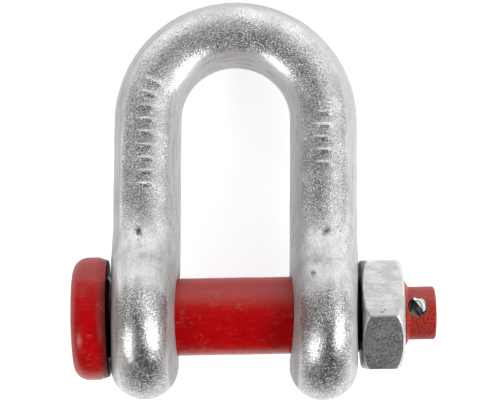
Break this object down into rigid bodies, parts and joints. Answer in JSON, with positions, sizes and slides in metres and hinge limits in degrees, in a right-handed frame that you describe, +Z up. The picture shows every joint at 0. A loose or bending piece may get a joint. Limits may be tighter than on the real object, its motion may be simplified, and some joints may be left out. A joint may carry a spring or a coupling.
{
  "type": "bolt-type chain shackle",
  "caption": "Forged dee-shaped chain shackle with flared eyes, lying flat, closed by a round-headed red bolt, hex nut and split pin.",
  "frame": {"origin": "bottom centre of the shackle's box, on the floor that it lies on", "axes": "+X along the bolt's side of the bow from head to nut, +Y from the bolt to the crown, +Z up from the floor"},
  "size_m": [0.1192, 0.1326, 0.055],
  "materials": {
    "galvanised": "hot-dip galvanised, satin with fine bright grain",
    "red_paint": "semi-gloss red paint with scuffs",
    "nut_steel": "drawn steel, fine lines along the flats",
    "wire_steel": "bright drawn wire"
  },
  "bodies": {
    "bow": {"shackle_bow": "galvanised"},
    "bolt": {"bolt": "red_paint"},
    "nut": {"hex_nut": "nut_steel"},
    "split_pin": {"split_pin": "wire_steel"}
  },
  "joints": [
    {"name": "bolt_spin", "type": "hinge", "parent": "bow", "child": "bolt", "pos_m": [-0.00647, -0.03882, 0.02749], "axis": [0.9997, 0.0231, -0.004], "continuous": true},
    {"name": "nut_turn", "type": "hinge", "parent": "bolt", "child": "nut", "pos_m": [-0.00647, -0.03882, 0.02749], "axis": [0.9997, 0.0231, -0.004], "range_deg": [0, 200]},
    {"name": "split_pin_pull", "type": "slide", "parent": "bolt", "child": "split_pin", "axis": [0.0031, -0.3001, -0.9539], "range_m": [0, 0.02]}
  ]
}
